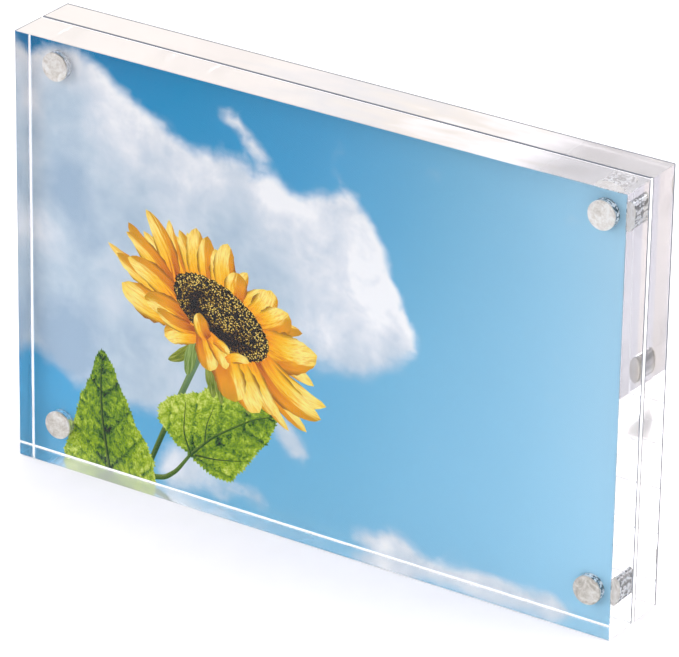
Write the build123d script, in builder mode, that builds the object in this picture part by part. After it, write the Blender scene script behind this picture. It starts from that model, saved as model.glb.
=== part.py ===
"""Clear acrylic block photo frame: two slabs, a print between them, four pairs of disc magnets.

Millimetres. X runs along the picture's width, Z is up, and the picture faces -Y.
The origin is the middle of the footprint, at the level of the shelf the frame stands on.
"""

import os

from build123d import *

os.makedirs("parts", exist_ok=True)

# ---------------------------------------------------------------- driving dimensions
INCH = 25.4

BLOCK_WIDTH = 6 * INCH
BLOCK_HEIGHT = 4 * INCH
BLOCK_THICKNESS = 3 / 8 * INCH
EDGE_CHAMFER = 0.4

PRINT_THICKNESS = 0.25
PRINT_CLEARANCE = 0.05
PRINT_TRIM = 0.2

MAGNET_DIAMETER = 1 / 4 * INCH
MAGNET_THICKNESS = 1 / 8 * INCH
MAGNET_EDGE_RADIUS = 0.3
MAGNET_EDGE_DISTANCE = 5 / 16 * INCH
MAGNET_RECESS = 0.05

POCKET_CLEARANCE = 0.075
ADHESIVE_THICKNESS = 0.1
ADHESIVE_COLLAR = 0.8

# ---------------------------------------------------------------- worked out from them
BLOCK_GAP = PRINT_THICKNESS + 2 * PRINT_CLEARANCE
PRINT_WIDTH = BLOCK_WIDTH - 2 * PRINT_TRIM
PRINT_HEIGHT = BLOCK_HEIGHT - 2 * PRINT_TRIM
MAGNET_RADIUS = MAGNET_DIAMETER / 2
MAGNET_HALF_SPACING_X = BLOCK_WIDTH / 2 - MAGNET_EDGE_DISTANCE
MAGNET_HALF_SPACING_Z = BLOCK_HEIGHT / 2 - MAGNET_EDGE_DISTANCE
POCKET_RADIUS = MAGNET_RADIUS + POCKET_CLEARANCE
POCKET_DEPTH = MAGNET_RECESS + MAGNET_THICKNESS + ADHESIVE_THICKNESS

# The mating face of each block, seen square on: the plane's normal points out of the block,
# so depths into the block are negative, and its local Y is up.
MATING_FACES = {
    "front": Plane(
        origin=(0, -BLOCK_GAP / 2, BLOCK_HEIGHT / 2),
        x_dir=(-1, 0, 0),
        z_dir=(0, 1, 0),
    ),
    "back": Plane(
        origin=(0, BLOCK_GAP / 2, BLOCK_HEIGHT / 2),
        x_dir=(1, 0, 0),
        z_dir=(0, -1, 0),
    ),
}

# The picture stands midway between the mating faces and faces the viewer.
PICTURE_PLANE = Plane(origin=(0, 0, BLOCK_HEIGHT / 2), x_dir=(1, 0, 0), z_dir=(0, -1, 0))

# Left and right are as seen by someone looking at the picture: -1 is left or bottom.
CORNERS = {
    "top_left": (-1, 1),
    "top_right": (1, 1),
    "bottom_left": (-1, -1),
    "bottom_right": (1, -1),
}


def corner_on(face, corner):
    """The centre of one corner's magnet, in the local coordinates of a mating face."""
    sideways, upwards = CORNERS[corner]
    x = sideways * face.x_dir.X * MAGNET_HALF_SPACING_X
    y = upwards * MAGNET_HALF_SPACING_Z
    return x, y


def write(part, name):
    """Labels a finished piece and writes its STEP file."""
    part.label = name
    export_step(part, f"parts/{name}.step")


# ---------------------------------------------------------------- acrylic blocks
# A slab with all twelve edges broken by a light chamfer, and four flat-bottomed blind
# holes in its mating face, one for each magnet.
for side, face in MATING_FACES.items():
    with BuildPart() as block:
        with BuildSketch(face):
            Rectangle(BLOCK_WIDTH, BLOCK_HEIGHT)
        extrude(amount=-BLOCK_THICKNESS)
        chamfer(block.edges(), EDGE_CHAMFER)
        with Locations(face):
            with Locations(*[corner_on(face, corner) for corner in CORNERS]):
                Hole(POCKET_RADIUS, POCKET_DEPTH)
    write(block.part, f"{side}_block")

# ---------------------------------------------------------------- the print
# A sheet of photo paper, trimmed a hair inside the blocks' outline and standing midway
# between the mating faces.
with BuildPart() as picture_print:
    with BuildSketch(PICTURE_PLANE):
        Rectangle(PRINT_WIDTH, PRINT_HEIGHT)
    extrude(amount=PRINT_THICKNESS / 2, both=True)
write(picture_print.part, "picture_print")

# ---------------------------------------------------------------- magnets and their glue
# Each magnet is a plated disc with rounded edges, set just below its block's mating face.
# Its glue covers the bottom of the hole and stands up round the disc as a short collar.
for side, face in MATING_FACES.items():
    for corner in CORNERS:
        with BuildPart() as magnet:
            with BuildSketch(face.offset(-MAGNET_RECESS)):
                with Locations(corner_on(face, corner)):
                    Circle(MAGNET_RADIUS)
            extrude(amount=-MAGNET_THICKNESS)
            fillet(magnet.edges().filter_by(GeomType.CIRCLE), MAGNET_EDGE_RADIUS)
        write(magnet.part, f"magnet_{side}_{corner}")

        with BuildPart() as adhesive:
            with BuildSketch(face.offset(-POCKET_DEPTH)):
                with Locations(corner_on(face, corner)):
                    Circle(POCKET_RADIUS)
            extrude(amount=ADHESIVE_THICKNESS + ADHESIVE_COLLAR)
            add(magnet.part, mode=Mode.SUBTRACT)
        write(adhesive.part, f"adhesive_{side}_{corner}")
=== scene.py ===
"""Looks for the clear acrylic block photo frame: optics, picture, magnets, glue, studio.

Everything is in metres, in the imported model's own frame: X along the picture, Z up, the
picture faces -Y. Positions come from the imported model's boxes; MM turns small sizes into
metres where a size is only given here.
"""

import itertools
import math
import random

import bmesh
import bpy
from mathutils import Matrix, Vector, noise
from mathutils.geometry import delaunay_2d_cdt


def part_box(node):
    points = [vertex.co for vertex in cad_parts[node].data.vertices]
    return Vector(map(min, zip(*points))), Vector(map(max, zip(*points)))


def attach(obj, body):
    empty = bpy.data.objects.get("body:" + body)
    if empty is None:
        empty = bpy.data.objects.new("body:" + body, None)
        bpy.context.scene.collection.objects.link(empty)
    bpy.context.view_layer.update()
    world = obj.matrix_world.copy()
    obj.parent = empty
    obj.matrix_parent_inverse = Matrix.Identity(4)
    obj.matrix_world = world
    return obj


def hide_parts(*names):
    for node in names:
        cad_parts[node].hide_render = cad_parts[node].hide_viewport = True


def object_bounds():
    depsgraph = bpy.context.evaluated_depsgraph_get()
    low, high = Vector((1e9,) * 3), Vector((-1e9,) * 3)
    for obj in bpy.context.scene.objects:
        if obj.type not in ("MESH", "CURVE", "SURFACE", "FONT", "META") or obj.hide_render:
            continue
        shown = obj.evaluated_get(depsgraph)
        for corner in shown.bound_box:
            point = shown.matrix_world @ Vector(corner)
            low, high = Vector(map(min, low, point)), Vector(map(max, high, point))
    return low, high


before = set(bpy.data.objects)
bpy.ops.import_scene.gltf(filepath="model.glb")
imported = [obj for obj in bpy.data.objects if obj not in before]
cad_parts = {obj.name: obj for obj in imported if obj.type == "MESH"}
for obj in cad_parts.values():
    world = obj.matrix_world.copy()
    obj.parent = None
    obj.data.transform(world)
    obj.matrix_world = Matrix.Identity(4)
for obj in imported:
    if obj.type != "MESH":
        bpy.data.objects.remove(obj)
cad_low, cad_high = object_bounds()

MM = 0.001
WHITE = (1.0, 1.0, 1.0, 1.0)

SIDES = ("front", "back")
CORNERS = ("top_left", "top_right", "bottom_left", "bottom_right")
# Which way each block's mating face looks.
FACES_OUT = {"front": Vector((0, 1, 0)), "back": Vector((0, -1, 0))}

# ---------------------------------------------------------------- small helpers


def centre_of(node):
    """The middle of a CAD node's box."""
    low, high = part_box(node)
    return (low + high) / 2


def new_object(name, mesh):
    """An object of a mesh, linked to the scene."""
    obj = bpy.data.objects.new(name, mesh)
    bpy.context.scene.collection.objects.link(obj)
    return obj


def mesh_from(bm, name, materials):
    """Closes a bmesh into a mesh that holds these materials."""
    bmesh.ops.remove_doubles(bm, verts=bm.verts, dist=1e-7)
    bmesh.ops.recalc_face_normals(bm, faces=bm.faces)
    mesh = bpy.data.meshes.new(name)
    bm.to_mesh(mesh)
    bm.free()
    for material in materials:
        mesh.materials.append(material)
    return mesh


def paint(obj, material):
    """Gives a carried-over CAD node a better material, on the object and not on its mesh."""
    for slot in obj.material_slots:
        slot.link = "OBJECT"
        slot.material = material


def round_ways(segments):
    """Unit vectors all round the Y axis."""
    angles = [math.tau * step / segments for step in range(segments)]
    return [Vector((math.cos(angle), 0, math.sin(angle))) for angle in angles]


def bridge(bm, first, second, slot=0):
    """Joins two rings of points with smooth faces."""
    for step in range(len(first)):
        after = (step + 1) % len(first)
        face = bm.faces.new([first[step], first[after], second[after], second[step]])
        face.smooth = True
        face.material_index = slot


def srgb(red, green, blue):
    """A display colour, 0 to 255, as a linear colour."""

    def linear(value):
        part = value / 255
        return part / 12.92 if part <= 0.04045 else ((part + 0.055) / 1.055) ** 2.4

    return (linear(red), linear(green), linear(blue), 1.0)


class Nodes:
    """Short ways to add nodes to one material or world tree."""

    def __init__(self, owner):
        owner.use_nodes = True
        self.owner = owner
        self.tree = owner.node_tree
        self.tree.nodes.clear()

    def add(self, kind, **settings):
        """Adds a node. Settings are its own properties."""
        node = self.tree.nodes.new("ShaderNode" + kind)
        for name, value in settings.items():
            setattr(node, name, value)
        return node

    def put(self, socket, value):
        """Links a socket to another, sets it to a plain value, or leaves it where there is none."""
        if hasattr(value, "is_output"):
            self.tree.links.new(value, socket)
        elif value is not None:
            socket.default_value = value

    def math(self, operation, a, b=None, c=None):
        """One Math node's result."""
        node = self.add("Math", operation=operation)
        for socket, value in zip(node.inputs, (a, b, c)):
            self.put(socket, value)
        return node.outputs[0]

    def product(self, first, *others):
        """Some values multiplied together, from the left."""
        for other in others:
            first = self.math("MULTIPLY", first, other)
        return first

    def gap(self, a, b):
        """How far one value is from another."""
        return self.math("ABSOLUTE", self.math("SUBTRACT", a, b))

    def swing(self, source, amount):
        """A value from 0 to 1 as a swing of half the amount either way."""
        return self.math("MULTIPLY_ADD", source, amount, -amount / 2)

    def swayed(self, value, source, amount):
        """A value moved by the swing of another."""
        return self.math("ADD", value, self.swing(source, amount))

    def mix(self, factor, a, b, blend="MIX"):
        """Mixes two colours."""
        node = self.add("Mix", data_type="RGBA", blend_type=blend)
        for index, value in ((0, factor), (6, a), (7, b)):
            self.put(node.inputs[index], value)
        return node.outputs[2]

    def ramp(self, factor, stops):
        """A colour ramp. Stops are (position, colour)."""
        node = self.add("ValToRGB")
        elements = node.color_ramp.elements
        while len(elements) < len(stops):
            elements.new(0.5)
        for element, (position, colour) in zip(elements, stops):
            element.position = position
            element.color = colour
        self.put(node.inputs[0], factor)
        return node.outputs[0]

    def display_ramp(self, factor, *stops):
        """A colour ramp whose stops are a position and a display colour, 0 to 255."""
        return self.ramp(factor, [(stop[0], srgb(*stop[1:])) for stop in stops])

    def span(self, value, from_low, from_high, to_low=0.0, to_high=1.0, smooth=False):
        """Maps a value from one range to another, clamped."""
        node = self.add("MapRange", clamp=True)
        node.interpolation_type = "SMOOTHSTEP" if smooth else "LINEAR"
        for socket, item in zip(node.inputs, (value, from_low, from_high, to_low, to_high)):
            self.put(socket, item)
        return node.outputs[0]

    def noise(self, vector, scale, detail=4.0, roughness=0.5, distortion=0.0):
        """A noise texture's value."""
        node = self.add("TexNoise")
        names = ("Vector", "Scale", "Detail", "Roughness", "Distortion")
        for name, value in zip(names, (vector, scale, detail, roughness, distortion)):
            self.put(node.inputs[name], value)
        return node.outputs[0]

    def stretched(self, vector, scale, turn=0.0):
        """A vector scaled and turned about Z."""
        node = self.add("Mapping")
        self.put(node.inputs["Vector"], vector)
        node.inputs["Rotation"].default_value = (0, 0, turn)
        node.inputs["Scale"].default_value = scale
        return node.outputs[0]

    def object_place(self):
        """The point in the piece's own frame, in metres."""
        return self.add("TexCoord").outputs["Object"]

    def axes(self, vector):
        """A vector's parts, by the names X, Y and Z."""
        node = self.add("SeparateXYZ")
        self.put(node.inputs[0], vector)
        return node.outputs

    def vector(self, x, y, z):
        """Three values as one vector."""
        node = self.add("CombineXYZ")
        for socket, value in zip(node.inputs, (x, y, z)):
            self.put(socket, value)
        return node.outputs[0]

    def bump(self, height, strength, distance):
        """A bump normal."""
        node = self.add("Bump")
        node.inputs["Strength"].default_value = strength
        node.inputs["Distance"].default_value = distance
        self.put(node.inputs["Height"], height)
        return node.outputs[0]

    def surface(self, volume=None, **sockets):
        """Adds the Principled shader and the output, and gives back the material.

        The keys are the shader's socket names, with _ for spaces.
        """
        shader = self.add("BsdfPrincipled")
        for name, value in sockets.items():
            self.put(shader.inputs[name.replace("_", " ")], value)
        output = self.add("OutputMaterial")
        self.put(output.inputs["Surface"], shader.outputs[0])
        self.put(output.inputs["Volume"], volume)
        return self.owner


def material_nodes(name):
    """The empty node tree of a new material."""
    return Nodes(bpy.data.materials.new(name))


# ---------------------------------------------------------------- materials: acrylic

# The acrylic pieces' material slots. The side slot is for the right end.
FACE_SLOT, EDGE_SLOT, HOLE_SLOT, SIDE_SLOT, TOP_SLOT, BASE_SLOT, LEFT_SLOT = range(7)

ACRYLIC_IOR = 1.49
ACRYLIC_DEPTH_COLOUR = (0.92, 0.9, 0.92, 1.0)
ACRYLIC_DENSITY = 8.0
# Reflections on the wide faces are held down, as a polarising filter on the camera does.
ACRYLIC_SHEEN = (0.05, 0.05, 0.05, 1.0)

# Polish marks: how finely they repeat along each axis, how deep they are, and the part of
# their noise that the roughness follows.
POLISH_STREAKS = (90.0, 2600.0, 400.0)
POLISH_DEPTH = 0.002 * MM
WEAR_NOISE = (0.18, 0.45)
# Heights off the middle between which a side's wear fades out, and what stays of it.
WORN_HEIGHTS = (0.03, 0.038)
WORN_LEAST = 0.25

# Frosting is its level at the left and at the right of its limits along X. Patches shift it.
FROST_PATCHES = 0.1
SIDE_HAZE = (0.06, 0.06)
EDGE_HAZE = (0.8, 0.8)
# Painted light: the edge frosting glows as if lit, though it is no lamp.
EDGE_PAINTED_GLOW = 0.44
TOP_HAZE = (0.8, 0.22)
TOP_CLEAR_FROM = (0.045, 0.06)
BASE_HAZE = (0.42, 0.02)
# Painted light: the foot's frosting glows as if lit from the table below.
BASE_PAINTED_GLOW = 0.5
BASE_CLEAR_FROM = (-0.076, 0.02)
# The foot's left end is clear, and the frosting starts between these two places.
BASE_FROST_START = (-0.07, -0.064)

# The top's painted reflection colours, from one place along X to another, and how far patches shift
# them.
TOP_REFLECTION_ENDS = (-0.08, 0.08)
TOP_REFLECTION_PATCHES = 0.08
TOP_PAINTED_REFLECTIONS = (
    (0.0, (0.46, 0.435, 0.41, 1)),
    (0.35, (0.45, 0.42, 0.4, 1)),
    (0.52, (0.39, 0.385, 0.39, 1)),
    (0.65, (0.44, 0.41, 0.38, 1)),
    (0.82, (0.55, 0.54, 0.56, 1)),
    (1.0, (0.7, 0.7, 0.73, 1)),
)
COOL_PAINTED_REFLECTION = (0.73, 0.75, 0.79, 1.0)
WARM_PAINTED_REFLECTION = (0.98, 0.92, 0.82, 1.0)
# The painted reflections on each block's right end: upright cool and warm bands, in parts of its
# depth.
SIDE_REFLECTION_BANDS = {
    "front": ((0.68, COOL_PAINTED_REFLECTION), (0.74, WARM_PAINTED_REFLECTION), (0.93, WARM_PAINTED_REFLECTION), (0.97, COOL_PAINTED_REFLECTION)),
    "back": ((0.28, COOL_PAINTED_REFLECTION), (0.36, WARM_PAINTED_REFLECTION), (0.82, WARM_PAINTED_REFLECTION), (0.9, WHITE)),
}
# Above this height the right end looks through to the dim side of the room.
SIDE_DIM_FROM = (0.054, 0.058)

# The painted dark border lines, painted shade where the seams and edges look through to dark: their
# colour, how far they wander, how wide they are and how far they take to fade. They run on past the
# edge that they follow.
PAINTED_LINE_SHADE = (0.06, 0.07, 0.09, 1.0)
LINE_WANDER = 0.08 * MM
PAST_EDGE = 1 * MM
LEFT_LINE = 0.3 * MM
LEFT_FADE = 0.2 * MM
OUTER_LINE = 0.5 * MM
OUTER_FADE = 0.15 * MM
FRONT_SEAM_LINE = 0.35 * MM
BACK_SEAM_LINE = 0.3 * MM
TOP_SEAM_LINE = 0.5 * MM
SEAM_FADE = 0.1 * MM

# The pockets' specks, swarf and glue that also serve as painted shade and painted highlights on the
# walls: the noise's levels for dark and pale, and how the haze that hides what is behind them grows
# away from the level halfway.
CUTTER_MARKS = (1500.0, 1000.0, 1500.0)
SPECK_LEVELS = (0.44, 0.53)
SPECK_EDGE = (0.005, 0.03)
SPECK_HAZE = (0.05, 0.85)
POCKET_SWARF_AND_SHADE = (0.004, 0.006, 0.012, 1.0)
POCKET_GLUE_AND_HIGHLIGHT = (0.95, 0.96, 0.98, 1.0)
# The left pockets have fewer specks: their share of them, and where the others begin.
LEFT_POCKET_SPECKS = 0.3
SPECKS_FROM = (-0.01, 0.01)


def painted_dark_lines(nodes, place, lines):
    """How much painted shade the polished borders have at a point: 1 inside a line and 0 beside it.

    Each line is an axis, the two places it runs between along that axis, and how far it
    takes to fade.
    """
    parts = nodes.axes(place)
    wander = nodes.swing(nodes.noise(place, 150.0, detail=3.0), LINE_WANDER * 2)
    total = 0.0
    for axis, start, end, fade in lines:
        spot = nodes.math("ADD", parts[axis], wander)
        rise = nodes.span(spot, start - fade, start, smooth=True)
        fall = nodes.span(spot, end + fade, end, smooth=True)
        total = nodes.math("MAXIMUM", total, nodes.product(rise, fall))
    return total


def worn_share(nodes, place):
    """How much of its wear a side has at a height: all of it round the middle."""
    off = nodes.gap(nodes.axes(place)["Z"], cad_high.z / 2)
    return nodes.span(off, *WORN_HEIGHTS, 1.0, WORN_LEAST, smooth=True)


def acrylic_material(
    name, polish, marks, tint=None, sheen=WHITE, haze=None, lines=(), painted_glow=0.0, worn_middle=False
):
    """Clear cast acrylic with the faint warm depth of its long paths.

    polish is the least and most roughness, marks scales the relief, and worn_middle keeps
    that roughness to the middle of the height. tint and haze make their colour and their
    share of white frosting from the nodes and the place; on the top, the right end and the
    pockets that colour holds painted reflections and painted shade. painted_glow is painted
    light that makes the frosting glow, and lines are painted dark lines of shade.
    """
    nodes = material_nodes(name)
    place = nodes.object_place()
    smudges = nodes.noise(place, 55.0, detail=3.0, roughness=0.55, distortion=0.6)
    streaks = nodes.noise(nodes.stretched(place, POLISH_STREAKS), 1.0, detail=2.0)
    roughness = nodes.span(nodes.product(smudges, streaks), *WEAR_NOISE, *polish)
    if worn_middle:
        roughness = nodes.product(roughness, worn_share(nodes, place))
    colour = tint(nodes, place) if tint else WHITE
    clear, painted_light = 1.0, 0.0
    if haze:
        frosted = haze(nodes, place)
        clear = nodes.math("SUBTRACT", 1.0, frosted)
        painted_light = nodes.product(frosted, painted_glow) if painted_glow else 0.0
    if lines:
        dark = painted_dark_lines(nodes, place, lines)
        colour = nodes.mix(dark, colour, PAINTED_LINE_SHADE)
        sheen = nodes.mix(dark, sheen, PAINTED_LINE_SHADE)
        clear = nodes.product(clear, nodes.math("SUBTRACT", 1.0, dark))
    depth = nodes.add("VolumeAbsorption")
    depth.inputs["Color"].default_value = ACRYLIC_DEPTH_COLOUR
    depth.inputs["Density"].default_value = ACRYLIC_DENSITY
    return nodes.surface(
        volume=depth.outputs[0],
        Base_Color=colour,
        Roughness=roughness,
        IOR=ACRYLIC_IOR,
        Transmission_Weight=clear,
        Specular_Tint=sheen,
        Emission_Color=WHITE,
        Emission_Strength=painted_light,
        Normal=nodes.bump(streaks, marks, POLISH_DEPTH),
    )


def top_painted_reflection(nodes, place):
    """The top's painted reflections: warm on the left and cooler to the right, in soft patches."""
    patches = nodes.noise(nodes.stretched(place, (60.0, 180.0, 1.0)), 1.0, detail=2.0)
    along = nodes.swayed(nodes.axes(place)["X"], patches, TOP_REFLECTION_PATCHES)
    return nodes.ramp(nodes.span(along, *TOP_REFLECTION_ENDS), TOP_PAINTED_REFLECTIONS)


def frosting(levels, limits=(cad_low.x, cad_high.x)):
    """A frosting that goes from one level to another between two places along X."""

    def haze(nodes, place):
        level = nodes.span(nodes.axes(place)["X"], *limits, *levels, smooth=True)
        return nodes.swayed(level, nodes.noise(place, 70.0, detail=2.0), FROST_PATCHES)

    return haze


def base_frost(nodes, place):
    """The foot's frosting: none at its left end, most beside it and little on the right."""
    share = nodes.span(nodes.axes(place)["X"], *BASE_FROST_START, smooth=True)
    return nodes.product(share, frosting(BASE_HAZE, BASE_CLEAR_FROM)(nodes, place))


def side_painted_reflections(side):
    """The right end's painted reflections: cool and warm upright bands high up, and clear low down.
    """
    low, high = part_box(f"{side}_block")

    def tint(nodes, place):
        parts = nodes.axes(place)
        bands = nodes.ramp(nodes.span(parts["Y"], low.y, high.y), SIDE_REFLECTION_BANDS[side])
        dim = nodes.span(parts["Z"], *SIDE_DIM_FROM, smooth=True)
        return nodes.mix(dim, WHITE, bands)

    return tint


def border_lines(side):
    """A block's painted dark lines of shade: those on its top, and those on its right end."""
    low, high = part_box(f"{side}_block")
    left = ("X", low.x - PAST_EDGE, low.x + LEFT_LINE, LEFT_FADE)
    if side == "front":
        lip = high.y - MATING_CHAMFER
        return (left,), (("Y", lip - FRONT_SEAM_LINE, lip, SEAM_FADE),)
    lip = low.y + MATING_CHAMFER
    outer = ("Y", high.y - OUTER_LINE, high.y + PAST_EDGE, OUTER_FADE)
    top_seam = ("Y", low.y, low.y + TOP_SEAM_LINE, SEAM_FADE)
    side_seam = ("Y", lip - PAST_EDGE, lip + BACK_SEAM_LINE, SEAM_FADE)
    return (left, top_seam, outer), (side_seam, outer)


def cutter_marks(nodes, place):
    """The bored pockets' uneven walls, as one noise."""
    return nodes.noise(nodes.stretched(place, CUTTER_MARKS), 1.0, detail=2.0)


def speck_share(nodes, place):
    """How many of the specks a pocket shows: few on the left and all of them on the right."""
    return nodes.span(nodes.axes(place)["X"], *SPECKS_FROM, LEFT_POCKET_SPECKS, 1.0)


def pocket_specks_and_shade(nodes, place):
    """Dark and white specks: swarf and glue caught in the cutter's marks, and painted shade and
    painted highlights on the pocket walls.
    """
    stops = tuple(zip(SPECK_LEVELS, (POCKET_SWARF_AND_SHADE, POCKET_GLUE_AND_HIGHLIGHT)))
    specks = nodes.ramp(cutter_marks(nodes, place), stops)
    return nodes.mix(speck_share(nodes, place), WHITE, specks)


def pocket_haze(nodes, place):
    """The specks hide what is behind them, and the wall between them is clear."""
    off = nodes.gap(cutter_marks(nodes, place), sum(SPECK_LEVELS) / 2)
    return nodes.product(nodes.span(off, *SPECK_EDGE, *SPECK_HAZE), speck_share(nodes, place))


def acrylic_set(side):
    """The finishes of one block, in slot order: each has its polish and its relief first."""
    top_lines, side_lines = border_lines(side)
    name = f"acrylic_{side}_"
    return [
        acrylic_material(name + "face", (0.0, 0.004), 0.0, sheen=ACRYLIC_SHEEN),
        acrylic_material(
            name + "edge", (0.1, 0.2), 0.1, haze=frosting(EDGE_HAZE), painted_glow=EDGE_PAINTED_GLOW
        ),
        acrylic_material(name + "pocket", (0.02, 0.06), 0.1, pocket_specks_and_shade, haze=pocket_haze),
        acrylic_material(
            name + "side", (0.02, 0.04), 0.02, side_painted_reflections(side),
            haze=frosting(SIDE_HAZE), lines=side_lines, worn_middle=True,
        ),
        acrylic_material(
            name + "top", (0.05, 0.1), 0.02, top_painted_reflection,
            haze=frosting(TOP_HAZE, TOP_CLEAR_FROM), lines=top_lines,
        ),
        acrylic_material(name + "base", (0.16, 0.24), 0.05, haze=base_frost, painted_glow=BASE_PAINTED_GLOW),
        acrylic_material(name + "left", (0.01, 0.03), 0.02),
    ]


# ---------------------------------------------------------------- acrylic blocks

# The edges round the mating faces are chamfered except on top, and the others just broken.
MATING_CHAMFER = 0.32 * MM
OUTER_CHAMFER = 0.12 * MM
HOLE_SEGMENTS = 128
# How far a face's normal has to point a way to count as facing it. The first is for flat
# faces alone, and the others take chamfers in.
FLAT_ON = 0.9
MOSTLY = 0.6
PARTLY = 0.3
# A cube's corners, each as 0 or 1 along X, Y and Z.
CUBE = tuple(itertools.product((0, 1), repeat=3))


def cube_corners(fixed):
    """The cube's corners that have these values on these axes."""
    return [signs for signs in CUBE if all(signs[axis] == fixed[axis] for axis in fixed)]


def edged_box(bm, side, low, high):
    """A box whose edges are all chamfered, more round the mating face than elsewhere.

    Each corner of the box becomes three points, one on each face that meets there.
    """
    mating_sign = 1 if FACES_OUT[side].y > 0 else 0
    points = {}
    for signs in CUBE:
        upright = MATING_CHAMFER if signs[1] == mating_sign else OUTER_CHAMFER
        level = OUTER_CHAMFER if signs[2] else upright
        inset = {(0, 1): upright, (0, 2): OUTER_CHAMFER, (1, 2): level}
        for axis in range(3):
            spot = [(low, high)[sign][other] for other, sign in enumerate(signs)]
            for other in range(3):
                if other != axis:
                    step = inset[tuple(sorted((axis, other)))]
                    spot[other] += -step if signs[other] else step
            points[signs, axis] = bm.verts.new(spot)

    for axis, sign in itertools.product(range(3), (0, 1)):
        a, b, c, d = cube_corners({axis: sign})
        bm.faces.new([points[signs, axis] for signs in (a, b, d, c)])
    for first, second in itertools.combinations(range(3), 2):
        for sign_a, sign_b in itertools.product((0, 1), repeat=2):
            start, end = cube_corners({first: sign_a, second: sign_b})
            ring = [(start, first), (end, first), (end, second), (start, second)]
            bm.faces.new([points[key] for key in ring])
    for signs in CUBE:
        bm.faces.new([points[signs, axis] for axis in range(3)])
    bmesh.ops.recalc_face_normals(bm, faces=bm.faces)


def hole_ring(bm, centre, radius, y):
    """A ring of vertices round a hole's axis at one depth."""
    spots = [centre + way * radius for way in round_ways(HOLE_SEGMENTS)]
    return [bm.verts.new((spot.x, y, spot.z)) for spot in spots]


def add_face_with_holes(bm, corners, rings):
    """Triangulates a flat face in the XZ plane round its holes."""
    outline = list(corners)
    verts = outline + [vert for ring in rings for vert in ring]
    number = {vert: index for index, vert in enumerate(verts)}
    loops = [outline] + rings
    flat = [Vector((vert.co.x, vert.co.z)) for vert in verts]
    polygons = [[number[vert] for vert in loop] for loop in loops]
    result = delaunay_2d_cdt(flat, [], polygons, 1, 1e-9, True)
    for triangle, owners in zip(result[2], result[5]):
        if owners == [0]:
            bm.faces.new([verts[result[3][index][0]] for index in triangle])


def add_pocket(bm, side, corner, mating_y):
    """One blind pocket's wall and bottom. Gives back the ring round its mouth."""
    glue_low, glue_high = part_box(f"adhesive_{side}_{corner}")
    centre = (glue_low + glue_high) / 2
    radius = (glue_high.z - glue_low.z) / 2
    mouth = hole_ring(bm, centre, radius, mating_y)
    bottom = hole_ring(bm, centre, radius, glue_low.y if side == "front" else glue_high.y)
    bridge(bm, mouth, bottom, HOLE_SLOT)
    bm.faces.new(bottom).material_index = HOLE_SLOT
    return mouth


def cut_pockets(bm, side):
    """Cuts the four blind magnet pockets into a block's mating face."""
    out = FACES_OUT[side]
    mating = max(bm.faces, key=lambda face: face.normal.dot(out) * face.calc_area())
    outline = list(mating.verts)
    if mating.normal.y > 0:
        outline.reverse()
    mating_y = mating.calc_center_median().y
    bm.faces.remove(mating)
    rings = [add_pocket(bm, side, corner, mating_y) for corner in CORNERS]
    add_face_with_holes(bm, outline, rings)


def sort_outer_faces(bm, side):
    """Gives the wide faces, the mating chamfers and the four narrow sides their finishes."""
    for face in bm.faces:
        facing = face.normal.dot(FACES_OUT[side])
        if abs(facing) > FLAT_ON:
            face.material_index = FACE_SLOT
        elif face.normal.z > MOSTLY:
            face.material_index = TOP_SLOT
        elif facing > PARTLY:
            face.material_index = EDGE_SLOT
        elif face.normal.z < -MOSTLY:
            face.material_index = BASE_SLOT
        elif face.normal.x < -MOSTLY:
            face.material_index = LEFT_SLOT
        else:
            face.material_index = SIDE_SLOT


def set_exact_normals(mesh, side):
    """Flat faces stay flat, and the pocket walls shade as true cylinders."""
    axes = [centre_of(f"magnet_{side}_{corner}") for corner in CORNERS]
    normals = []
    for polygon in mesh.polygons:
        for index in polygon.vertices:
            normal = polygon.normal.copy()
            if polygon.use_smooth:
                spot = mesh.vertices[index].co
                axis = min(axes, key=lambda place: (place - spot).xz.length)
                normal = Vector((axis.x - spot.x, 0, axis.z - spot.z)).normalized()
            normals.append(normal)
    mesh.normals_split_custom_set(normals)


def build_block(side, materials):
    """One acrylic slab: polished faces, chamfered edges and four blind pockets."""
    low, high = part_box(f"{side}_block")
    bm = bmesh.new()
    edged_box(bm, side, low, high)
    sort_outer_faces(bm, side)
    cut_pockets(bm, side)
    name = f"acrylic_{side}"
    mesh = mesh_from(bm, name, materials)
    set_exact_normals(mesh, side)
    obj = new_object(name, mesh)
    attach(obj, side)
    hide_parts(f"{side}_block")


# ---------------------------------------------------------------- the picture's shapes
# Everything here is in millimetres from the picture's bottom left corner.

SEED = 11
# A petal's steps, the part of its length where it gets full, and how its tip rounds off.
PETAL_STEPS = 16
PETAL_FULL_FROM = 0.55
PETAL_LEAST_WIDTH = 0.06
PETAL_ROUNDING = 0.62
PETAL_WOBBLE = 0.16
# The ring of short petals behind the disc.
RUFF_PETALS = 26
# Petals in a row take tones this far apart, round and round from 0 to 1.
TONE_STEP = 0.618
# The back petals' widths below are made this much wider, and the petals with their tips
# right of this place take the lower, brighter tones.
BACK_PETAL_GROWTH = 1.35
BRIGHT_TONES_FROM = 55
LEAF_TOOTH = 0.9
LEAF_TOOTH_HEIGHT = 0.55
RIB_STEPS = 6

DISC_CENTRE = Vector((50.2, 44.8))
DISC_TURN = math.radians(-27)
DISC_HALF_LENGTH = 13.4
DISC_HALF_WIDTH = 7.0
DISC_STEPS = 120

# Leaf outlines: along the rib, then to the left of it.
LEFT_LEAF = [Vector(p) for p in ((-6, -6), (-2, -11.5), (4, -12), (12, -8), (20, -4.4), (28.4, 0),
                                 (21, 4.2), (12, 8.2), (4, 11.5), (-3, 11.5), (-6, 6))]
RIGHT_LEAF = [Vector(p) for p in ((0, 0), (-3, 7), (-1.5, 12.5), (6, 13), (11, 11.6), (18, 10),
                                  (24, 5), (27.4, 0), (21, -4.2), (13, -7), (7, -8.4), (3, -6))]

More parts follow.
